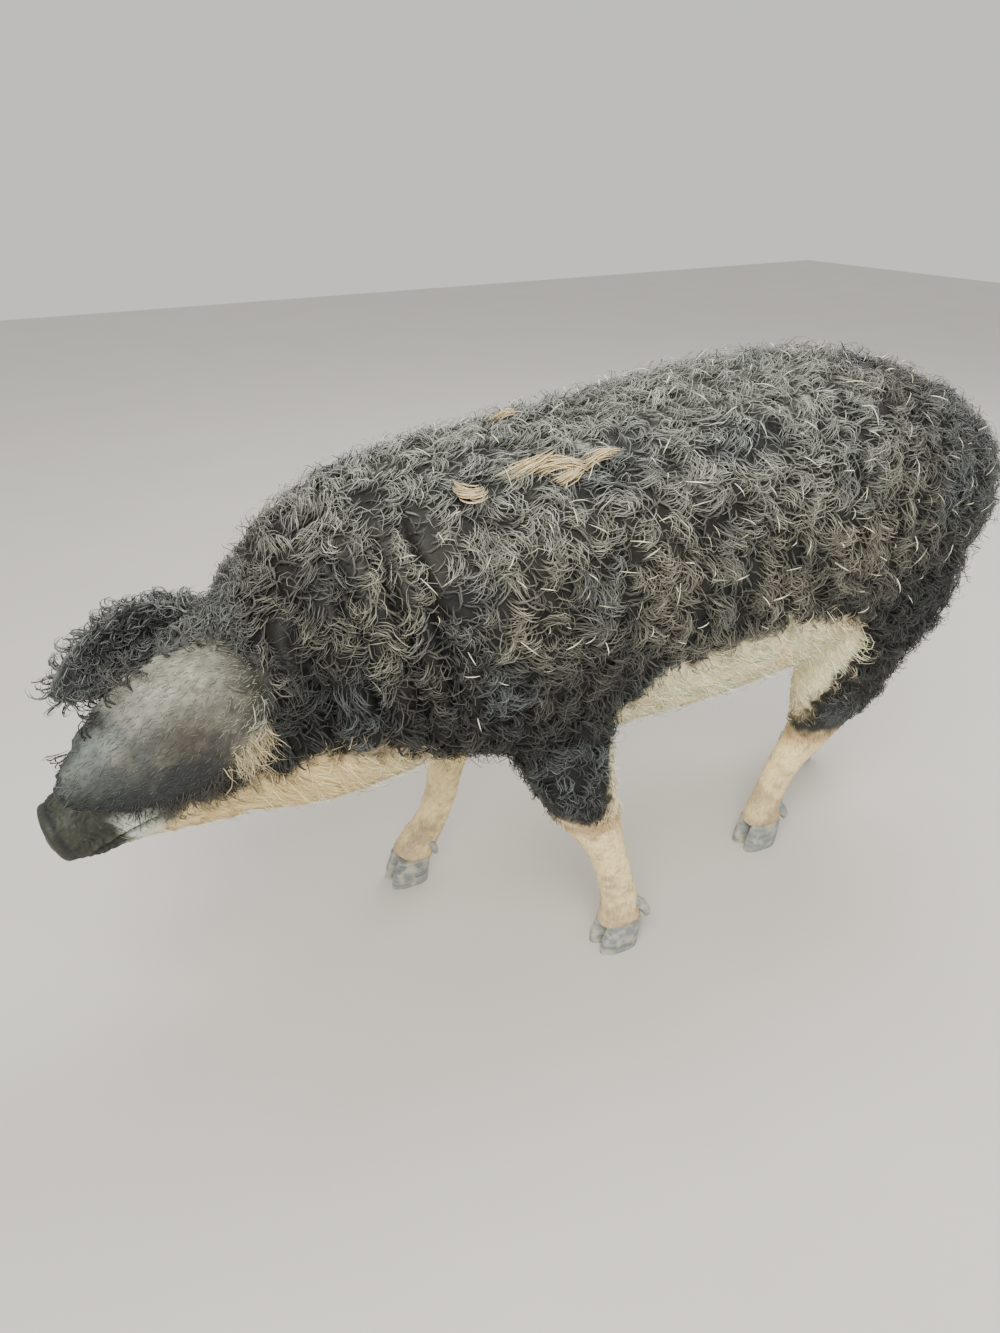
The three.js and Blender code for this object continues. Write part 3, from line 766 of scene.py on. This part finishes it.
def lock_faces(rings):
    """Triangles of one lock: three sides from ring to ring, a point at the tip and a cap at the root."""
    i, j = np.meshgrid(np.arange(rings - 1), np.arange(3), indexing="ij")
    k = (j + 1) % 3
    quads = np.stack([i * 3 + j, (i + 1) * 3 + j, (i + 1) * 3 + k, i * 3 + k], -1).reshape(-1, 4)
    j = np.arange(3)
    tip = np.stack([(rings - 1) * 3 + (j + 1) % 3, (rings - 1) * 3 + j, np.full(3, rings * 3)], -1)
    return np.concatenate([quads[:, [0, 1, 2]], quads[:, [0, 2, 3]], tip, [[0, 1, 2]]])


def locks(name, roots, style, rings, rng, light, dye, root):
    """One piece of hair. Each lock has its own place on both unwraps, and the markings' colour near its root,
    or its dye. Its tone varies, and its root is darker with painted shade, by the share `root` in black and
    little in blond."""
    where = roots[0]
    n, each = len(where), rings * 3 + 1
    t = np.linspace(0, 1, rings + 1)
    points = lock_points(roots, style, t[None])
    faces = (lock_faces(rings)[None] + np.arange(n)[:, None, None] * each).reshape(-1, 3)
    mesh = bpy.data.meshes.new(name)
    mesh.vertices.add(n * each)
    mesh.vertices.foreach_set("co", ((points.reshape(-1, 3) + SHIFT) / 1000).ravel())
    mesh.loops.add(faces.size)
    mesh.loops.foreach_set("vertex_index", faces.ravel())
    mesh.polygons.add(len(faces))
    mesh.polygons.foreach_set("loop_start", np.arange(0, faces.size, 3))
    mesh.polygons.foreach_set("loop_total", np.full(len(faces), 3))
    mesh.update()
    mesh.shade_smooth()
    u, v = unwrap(where)
    down_lock = np.append(np.repeat(t[:-1], 3), 1.0)
    over_lock = np.append(np.tile([0.0, 0.5, 1.0], rings), 0.5)
    patch = np.stack([u[:, None] + 0.003 * (over_lock - 0.5), v[:, None] + 0.003 * (down_lock - 0.5)], -1)
    own = rng.uniform(0, 300, (n, 1))
    width = style[4][:, None]
    strand = np.stack([own + over_lock * width * 0.4, own * 0.37 + down_lock * 1.5], -1)
    for layer_name, at in (("OFBake", patch), ("strand", strand)):
        layer = mesh.uv_layers.new(name=layer_name)
        layer.data.foreach_set("uv", at.reshape(-1, 2)[faces.ravel()].ravel())
    tone = rng.normal(0, 1, n)
    strayed = where + rng.normal(0, 5, where.shape)
    colours = markings(strayed) if dye is None else np.broadcast_to(dye, where.shape)
    pale = step(0.25, 0.45, colours.mean(1))
    colours = colours * (light * np.exp((0.2 - 0.13 * pale) * tone))[:, None]
    # Painted shade: each lock is darker at its root, deep in the coat, and a little lighter towards its tip.
    root = (root + (0.92 - root) * pale)[:, None]
    shade = root + (1.12 - root) * np.clip(down_lock * 1.8, 0, 1)
    paint_points(mesh, (colours[:, None] * shade[..., None]).reshape(-1, 3))
    obj = bpy.data.objects.new(name, mesh)
    bpy.context.scene.collection.objects.link(obj)
    return obj


def curly(p):
    """Share of the wool: body, neck, upper legs and jaw; none on the face and the lower legs, and next to
    none on the ears."""
    x, z = p[:, 0], p[:, 2]
    on_ears = np.maximum(*(ear_place(name, p)[0] for name in EARS))
    body = step(-425, -345, x) * step(198, 258, z) * (1 - 0.9 * on_ears)
    jaw = step(-480, -430, x) * (1 - step(-400, -370, x)) * (1 - step(352, 392, z)) * step(280, 300, z)
    return np.maximum(body, 0.9 * jaw)


def kept_dark(where, way, length):
    """Length of a lock, cut by up to 0.6 where a root in black has its tip over blond."""
    over = pale_share(where + way * length[:, None] * 0.8) - pale_share(where)
    return length * (1 - 0.6 * np.clip(over, 0, 1))


def clumped(mesh, clumps, per, reach, weight, turning, rng):
    """Roots in groups: a place on the skin for each group, a common heading turned at random, and its members
    spread evenly over a disc that starts a little back. Gives places, normals, headings, and how far each
    member is from its group."""
    centre, out = roots_on(mesh, clumps, weight, rng)
    way = lie(centre, out)
    turn = (rng.normal(0, turning, clumps) * (1 - 0.8 * pale_share(centre)))[:, None]
    way = unit(way * np.cos(turn) + np.cross(out, way) * np.sin(turn))
    away = reach * np.sqrt(rng.uniform(size=(clumps, per)))
    angle = rng.uniform(0, 2 * np.pi, (clumps, per))
    ahead, aside = (away * np.cos(angle))[..., None], (away * np.sin(angle))[..., None]
    drift = way[:, None] * ahead + np.cross(out, way)[:, None] * aside
    where = (centre[:, None] + drift - way[:, None] * SET_BACK).reshape(-1, 3)
    return where, np.repeat(out, per, 0), np.repeat(way, per, 0), drift.reshape(-1, 3)


def grown(name, roots, style, rings, rng, finish_of, light=1.0, dye=None, root=0.42):
    """The pieces of one kind of hair, each under the limit of triangles, cut along the body. The style gives
    length, lift, bend, ripple, width, flick and pull, in millimetres and radians, and the roll is random."""
    n = len(roots[0])
    style = [np.broadcast_to(v, n) for v in style.values()] + [rng.uniform(0, 1, n)]
    light = np.broadcast_to(light, n)
    parts = -(-n // (MOST_TRIANGLES // (rings * 6 - 2)))
    for k, take in enumerate(np.array_split(np.argsort(roots[0][:, 0], kind="stable"), parts)):
        own_roots, own_style = [v[take] for v in roots], [v[take] for v in style]
        piece = locks(f"{name}_{k + 1}", own_roots, own_style, rings, rng, light[take], dye, root)
        piece.data.materials.append(finish_of)
        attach(piece, "root")


def fewer(count):
    return count


def shorter(p, least):
    """Size of the hair at a height: least below 300 mm on the legs, 1 above 400 mm on the body."""
    return least + (1 - least) * step(300, 400, p[:, 2])


wool, shader, start = finish("wool", {"Specular IOR Level": 0.45, "Sheen Weight": 0.1})
tint = start.marked()
strand = start.node("ShaderNodeUVMap", {"uv_map": "strand"}, 0, {})
hairs = strand.stretched((3.4, 1.0, 1.0)).noise(1.0, 3.0)
feed(
    shader,
    {
        "Base Color": tint.dimmed(hairs.between(0.32, 0.68, 0.4, 1.7)),
        "Roughness": hairs.between(0.3, 0.7, 0.62, 0.42),
        "Normal": hairs.bump(0.6, 0.0012),
    },
)

rng = np.random.default_rng(4121)
n = fewer(UNDER_LOCKS)
roots = clumped(skin.data, n, 1, 3.0, curly, 0.7, rng)
straight = pale_share(roots[0])
short = shorter(roots[0], 0.45)
style = {
    "length": kept_dark(roots[0], roots[2], rng.uniform(26, 44, n) * short),
    "lift": rng.uniform(2, 7, n) * short * (1 - 0.5 * straight) * (1 - 0.6 * crease(roots[0])),
    "bend": rng.uniform(-2.6, 2.6, n) * (1 - 0.85 * straight),
    "ripple": rng.uniform(0.4, 1.4, n) * (1 - 0.8 * straight),
    "width": rng.uniform(1.7, 2.8, n) * (0.5 + 0.5 * short) * (1 - 0.4 * straight),
    "flick": rng.normal(0, 1.5, n) * (1 - straight),
    "pull": 0.0,
}
grown("under_wool", roots, style, UNDER_RINGS, rng, wool, 0.55 + 0.45 * straight)

clumps = fewer(WOOL_CLUMPS)
roots = clumped(skin.data, clumps, PER_CLUMP, CLUMP_REACH, curly, 0.85, rng)
where = roots[0]
n = len(where)
straight = pale_share(where)
short = shorter(where, 0.45)
folded = (1 - 0.85 * crease(where)) * (1 - 0.68 * straight)
swirl = np.repeat(rng.uniform(0.8, 3.6, clumps) * rng.choice([-1, 1], clumps), PER_CLUMP)
height = np.repeat(rng.uniform(0.6, 1.1, clumps), PER_CLUMP)
style = {
    "length": kept_dark(where, roots[2], rng.uniform(24, 42, n) * short * (1 - 0.45 * crease(where))),
    "lift": rng.uniform(6, 15, n) * height * short * folded,
    "bend": (swirl + rng.normal(0, 0.3, n)) * (1 - 0.9 * straight),
    "ripple": rng.uniform(0.4, 1.3, n) * (1 - 0.85 * straight),
    "width": rng.uniform(0.55, 1.05, n) * (1 - 0.25 * straight),
    "flick": rng.normal(0, 2.5, n) * short * (1 - 0.8 * straight),
    "pull": 0.5,
}
grown("wool", roots, style, WOOL_RINGS, rng, wool, 1.55 - 0.45 * straight)

# Fine loose hairs over the wool, which soften its outline and catch the light: single hairs that grow from
# the same skin, stand further out and turn more freely.
WISPS = 4800
n = fewer(WISPS)
roots = clumped(skin.data, n, 1, 4.0, curly, 1.5, rng)
straight = pale_share(roots[0])
soft = 1 - 0.7 * straight
short = shorter(roots[0], 0.5)
style = {
    "length": kept_dark(roots[0], roots[2], rng.uniform(28, 50, n) * short),
    "lift": rng.uniform(15, 23, n) * short * (1 - 0.4 * straight),
    "bend": rng.uniform(-5, 5, n) * soft,
    "ripple": rng.uniform(0.5, 2.5, n) * soft,
    "width": rng.uniform(0.5, 0.8, n),
    "flick": rng.normal(2, 4, n) * short,
    "pull": 0.0,
}
grown("wisps", roots, style, 4, rng, wool, 1.35)

# Short hair laid flat on head, left ear and lower legs. The left ear's lower edge has a fringe of pale hair
# behind and thin dark hairs in front, loose rings of hair grow on the right ear, the poll and the left ear's
# upper edge, and a tassel of locks on the tail's end.
OCHRE = np.array([0.92, 0.78, 0.48])
SHORT_HAIRS, FRINGE, HEM, RINGLETS, TASSEL = 9000, 230, 260, 900, 240


def laid(p):
    """Share of short hair: the legs below the wool, the head behind the snout, and the left ear."""
    x, z = p[:, 0], p[:, 2]
    legs = (1 - step(225, 300, z)) * step(50, 66, z) * step(-300, -250, x)
    head = step(-530, -490, x) * (1 - step(-400, -350, x))
    return np.maximum(np.maximum(0.8 * legs, 0.8 * head), 2.0 * ear_place("left", p)[0])


def drawn(n, length, lift, bend, ripple, width, flick, pull=0.0):
    """Random style of n locks: bend and flick about a middle with a spread, the others between two limits."""
    return {
        "length": rng.uniform(*length, n),
        "lift": rng.uniform(*lift, n),
        "bend": rng.normal(*bend, n),
        "ripple": rng.uniform(*ripple, n),
        "width": rng.uniform(*width, n),
        "flick": rng.normal(*flick, n),
        "pull": pull,
    }


n = fewer(SHORT_HAIRS)
roots = clumped(skin.data, n, 1, 0.5, laid, 0.3, rng)
style = drawn(n, (10, 17), (0.2, 1.0), (0, 0.5), (0, 0.4), (0.5, 0.95), (0.2, 0.5))
style["length"] *= 0.75 + 0.25 * step(120, 260, roots[0][:, 2])
grown("short_hair", roots, style, 3, rng, wool, 1.05, root=0.86)


def ear_edge(p):
    """Share of the fringe: the lower edge of the left ear in its rear half."""
    on, t, s = ear_place("left", p)
    return on * (1 - step(-0.92, -0.7, s)) * (1 - step(0.32, 0.44, t)) * step(0.12, 0.2, t)


def hanging(roots, down, spread):
    """Headings of hair that hangs: a common one, scattered, less 0.6 of its part along the normal."""
    out = roots[1]
    down = down + rng.normal(0, spread, out.shape)
    return unit(down - out * (out * down).sum(1)[:, None] * 0.6)


n = FRINGE
roots = clumped(skin.data, n, 1, 4.0, ear_edge, 0.5, rng)
way = hanging(roots, np.array([0.25, -0.25, -1.0]), 0.3)
style = drawn(n, (18, 46), (2, 6), (0, 1.1), (0.3, 1.2), (0.5, 0.95), (0, 2))
grown("fringe", (roots[0], roots[1], way, roots[3]), style, 6, rng, wool, 0.62, OCHRE)


def ear_hem(p):
    """Share of the thin dark hairs that hang from the lower edge of the left ear in its front half."""
    on, t, s = ear_place("left", p)
    return on * (1 - step(-0.97, -0.8, s)) * step(0.36, 0.44, t) * (1 - step(0.93, 0.98, t))


n = HEM
roots = clumped(skin.data, n, 1, 1.0, ear_hem, 0.5, rng)
way = hanging(roots, np.array([-0.25, -0.2, -1.0]), 0.25)
style = drawn(n, (12, 30), (1, 4), (0, 1.2), (0.2, 0.9), (0.4, 0.8), (0, 2))
grown("ear_hem", (roots[0], roots[1], way, roots[3]), style, 5, rng, wool, 0.8, EAR_BROWN)


def ringed(p):
    """Share of ringlets: the right ear all over, the poll between the ears, and the left ear's upper edge."""
    x, y, z = p.T
    left, t, s = ear_place("left", p)
    poll = step(-440, -400, x) * (1 - step(-345, -320, x)) * step(500, 530, z) * (1 - step(60, 95, np.abs(y)))
    edge = left * step(0.8, 0.95, s) * step(0.3, 0.45, t) * 1.5
    return np.maximum(np.maximum(ear_place("right", p)[0], 0.9 * poll), edge)


roots = clumped(skin.data, RINGLETS, 3, 4.0, ringed, 1.0, rng)
n = RINGLETS * 3
whirl = np.repeat(rng.uniform(3.0, 6.5, RINGLETS) * rng.choice([-1, 1], RINGLETS), 3)
style = drawn(n, (28, 46), (5, 15), (0, 0.3), (0.2, 0.8), (0.9, 1.6), (0, 3), 0.3)
style["bend"] += whirl
grown("ringlets", roots, style, 6, rng, wool, 1.1 - 0.85 * ear_place("left", roots[0])[0])


def tail_end(p):
    """Share of the tassel: the lower third of the tail."""
    return step(832, 842, p[:, 0]) * (1 - step(455, 500, p[:, 2])) * step(395, 405, p[:, 2])


roots = clumped(skin.data, TASSEL, 3, 2.0, tail_end, 0.3, rng)
n = TASSEL * 3
style = drawn(n, (30, 58), (3, 9), (0, 1.2), (0.4, 1.2), (0.9, 1.6), (-2, 2), 0.5)
grown("tassel", roots, style, 5, rng, wool, 0.8)

# Straw and shed fluff caught in the wool of back and sides: pale dry stalks up to a few centimetres long, and
# six loose ochre tufts of moulted underwool behind the shoulders.
STRAWS = 460
STRAW = np.array([1.0, 0.90, 0.60])
FLUFF = np.array([0.68, 0.55, 0.31])
# Each tuft's place, its heading, its length and how far its locks turn.
TUFTS = np.array(
    [
        [10, 9, 737, 0.5, -0.8, 0.0, 26, 1.2],
        [-36, -104, 708, 1.0, -0.1, 0.1, 62, 0.5],
        [0, -106, 714, 1.0, -0.1, 0.1, 62, -0.6],
        [66, -118, 720, 1.0, 0.2, 0.1, 36, -0.4],
        [-106, -112, 707, -0.3, -0.8, -0.6, 44, 3.0],
        [20, -126, 702, 1.0, -0.3, -0.3, 30, 1.4],
    ]
)
FLUFF_LOCKS = 44


def strewn(p):
    """Share of straw: back and sides from the shoulder to the rump."""
    x, z = p[:, 0], p[:, 2]
    return step(-260, -60, x) * (1 - step(780, 820, x)) * step(420, 560, z)


n = STRAWS
roots = clumped(skin.data, n, 1, 0.5, strewn, 3.0, rng)
held = roots[0] + roots[1] * rng.uniform(11, 17, (n, 1))
style = {
    "length": rng.uniform(7, 34, n),
    "lift": rng.uniform(3, 5, n),
    "bend": rng.normal(0, 0.12, n),
    "ripple": 0.0,
    "width": rng.uniform(0.6, 1.0, n),
    "flick": rng.uniform(0, 6, n),
    "pull": 0.0,
}
grown("straw", (held, *roots[1:]), style, 3, rng, wool, 1.2, STRAW, 0.85)

surface, outward = read_points(skin.data), read_normals(skin.data)
nearest = ((surface[None] - TUFTS[:, None, :3]) ** 2).sum(-1).argmin(1)
out = outward[nearest]
way = unit(TUFTS[:, 3:6] - out * (TUFTS[:, 3:6] * out).sum(1)[:, None])
where, out, way = (np.repeat(v, FLUFF_LOCKS, 0) for v in (surface[nearest], out, way))
reach, turning = np.repeat(TUFTS[:, 6:], FLUFF_LOCKS, 0).T
n = len(out)
drift = np.cross(out, way) * rng.normal(0, 4.6, (n, 1)) + way * rng.normal(-4, 6, (n, 1))
where = where + drift + out * 10
style = drawn(n, (0.7, 1.1), (4, 9), (0, 0.12), (0.2, 0.6), (0.7, 1.3), (0, 1.0), 0.5)
style["length"] *= reach
style["bend"] += turning
grown("fluff", (where, out, way, drift), style, 6, rng, wool, 1.0, FLUFF, 0.7)

# The eyes: dark brown balls set in the head under the ears, each between two lids of bare grey skin.
LID_REACH, LID_THICK = 14.2, 3.2
UPPER_RISE, LOWER_RISE, HALF_SLIT = 34, 24, 46
eye_finish, shader, start = finish("eye", {"Coat Weight": 1.0, "Coat Roughness": 0.03, "Roughness": 0.12})
spot = start.place()
iris = spot.noise(260.0, 4.0).between(0.35, 0.65).colours((0.010, 0.007, 0.005, 1), (0.050, 0.026, 0.012, 1))
feed(shader, {"Base Color": iris})


def lid(side, upper):
    """Rings of a lid: a tapered roll along half of an almond on a sphere round the eye, the almond's angle
    up being 34 degrees above and 24 below times one minus the square of the share along it."""
    out = unit(np.array([-0.38, side * 0.86, 0.34]))
    slit = np.array([-0.86, 0.0, -0.34])
    along = unit(slit - out * (slit @ out))
    up = np.cross(along, out) * side
    up = up * np.sign(up[2])
    k = np.linspace(-1, 1, 26)
    rise = np.radians(UPPER_RISE if upper else -LOWER_RISE) * (1 - k * k)
    turn = np.radians(HALF_SLIT) * k
    face = out * np.cos(turn)[:, None] * np.cos(rise)[:, None] + along * np.sin(turn)[:, None]
    spine = EYE * [1, side, 1] + LID_REACH * unit(face + up * np.sin(rise)[:, None])
    tangent = unit(np.gradient(spine, axis=0))
    lift = unit(spine - EYE * [1, side, 1])
    across = np.cross(tangent, lift)
    a = np.linspace(0, 2 * np.pi, 13)[:-1]
    thick = (LID_THICK * (0.45 + 0.55 * np.sqrt(1 - k * k * 0.98)))[:, None, None]
    wide = (across[:, None] * np.cos(a)[:, None] + lift[:, None] * 0.8 * np.sin(a)[:, None]) * thick
    return spine[:, None] + wide


for name, side in (("eye_left", -1), ("eye_right", 1)):
    eye = mesh_of(name + "_ball", *tube(ball(EYE * [1, side, 1], EYE_RADIUS)))
    eye.data.materials.append(eye_finish)
    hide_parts(name)
    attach(eye, "root")
    lids = mesh_of(name + "_lids", *joined([tube(lid(side, upper)) for upper in (True, False)]))
    outward = bmesh.new()
    outward.from_mesh(lids.data)
    bmesh.ops.recalc_face_normals(outward, faces=outward.faces)
    outward.to_mesh(lids.data)
    outward.free()
    paint_points(lids.data, np.broadcast_to(SLATE * 0.45, (len(lids.data.vertices), 3)))
    lids.data.materials.append(hide)
    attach(lids, "root")

# Hooves: two claws and two small dewclaws a foot, of blue-grey horn that grows in rings from the coronet
# and is worn pale and scuffed near the ground.
CLAW = [
    [-7, 14.6, -6, 12.5, 33, 26, 2.6],
    [-5, 14.6, 12, 13.5, 32, 26, 2.5],
    [-2, 14.6, 30, 14, 28, 26, 2.4],
    [0, 14.6, 52, 13.5, 24, 26, 2.3],
]
DEWCLAW = [
    [16, 12, 76, 9, 8, 8, 2],
    [27, 15, 66, 9, 8, 8, 2.2],
    [33, 17, 54, 8, 7, 6, 2.4],
    [35, 18, 45, 4, 4, 3, 2.4],
]
CORONET = 46.0
horn, shader, start = finish("horn", {"Specular IOR Level": 0.4})
spot = start.place()
growth = spot.stretched((14, 14, 230)).noise(1.0, 3.0)
scuff = spot.noise(70.0, 5.0)
grain = growth.between(0.3, 0.7).colours((0.16, 0.19, 0.21, 1), (0.36, 0.38, 0.36, 1))
feed(
    shader,
    {
        "Base Color": scuff.between(0.45, 0.62).colours(grain, (0.50, 0.47, 0.39, 1)),
        "Roughness": scuff.between(0.3, 0.7, 0.4, 0.75),
        "Normal": (growth + 0.4 * scuff).bump(0.5, 0.0012),
    },
)
for leg, rows in LEGS.items():
    foot = leg.replace("leg", "foot")
    parts = []
    for side in (-1, 1):
        for shape, top in ((CLAW, CORONET), (DEWCLAW, 200.0)):
            moved = np.array(shape, float)
            moved[:, 0] += rows[0][0]
            moved[:, 1] = rows[0][1] + side * moved[:, 1]
            rings = rings_of(moved, 16, 24)
            rings[..., 2] = np.clip(rings[..., 2], 0.0, top)
            parts.append(tube(rings))
    hoof = mesh_of(foot + "_horn", *joined(parts))
    hoof.data.materials.append(horn)
    names = [f"{foot}_{kind}_{label}" for kind in ("claw", "dewclaw") for label in ("inner", "outer")]
    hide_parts(*names)
    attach(hoof, "root")

# Floor of pale matt board, a bright even sky, two large soft lamps, and the camera at the picture's place:
# in front to the left of the animal, looking 27.5 degrees down.
bpy.ops.mesh.primitive_plane_add(size=14)
floor = bpy.context.object
floor.name = "floor"
board, shader, start = finish("floor", {"Roughness": 0.85})
spot = start.place()
feed(shader, {"Base Color": spot.noise(3.0).colours((0.60, 0.58, 0.55, 1), (0.66, 0.64, 0.61, 1))})
floor.data.materials.append(board)

world = bpy.data.worlds.new("studio")
bpy.context.scene.world = world
world.use_nodes = True
sky = world.node_tree.nodes["Background"]
sky.inputs[0].default_value = (1.0, 0.985, 0.95, 1)
sky.inputs[1].default_value = 0.8
for stand, aim, wide, power in (
    ((-1.4, -2.0, 3.0), (0, 0, 0.4), 2.0, 150),
    ((1.8, 0.8, 3.2), (0, 0, 0.5), 1.6, 90),
):
    lamp = bpy.data.lights.new("softbox", "AREA")
    lamp.shape, lamp.size, lamp.energy, lamp.color = "SQUARE", wide, power, (1.0, 0.965, 0.9)
    holder = bpy.data.objects.new("softbox", lamp)
    behind = -unit(np.array(aim) - stand)
    right = unit(np.cross([0, 0, 1], behind))
    turned = np.stack([right, np.cross(behind, right), behind], 1)
    holder.matrix_world = Matrix.Translation(stand) @ Matrix(turned.tolist()).to_4x4()
    bpy.context.scene.collection.objects.link(holder)

AZIMUTH, PITCH, ROLL = np.radians([-27.35, 27.50, -0.67])
VIEWPOINT = np.array([-559.1, -1083.6, 1045.9])
FOCAL, LONG_SIDE, SENSOR = 1000.73, 1333, 36
forward = np.array([-np.sin(AZIMUTH) * np.cos(PITCH), np.cos(AZIMUTH) * np.cos(PITCH), -np.sin(PITCH)])
right = np.array([np.cos(AZIMUTH), np.sin(AZIMUTH), 0])
up = np.cross(right, forward)
right, up = np.cos(ROLL) * right + np.sin(ROLL) * up, np.cos(ROLL) * up - np.sin(ROLL) * right
camera = bpy.data.cameras.new("camera")
camera.sensor_width = SENSOR
camera.lens = SENSOR * FOCAL / LONG_SIDE
viewer = bpy.data.objects.new("camera", camera)
turned = Matrix(np.stack([right, up, -forward], 1).tolist()).to_4x4()
viewer.matrix_world = Matrix.Translation(((VIEWPOINT + SHIFT) / 1000).tolist()) @ turned
bpy.context.scene.collection.objects.link(viewer)
bpy.context.scene.camera = viewer
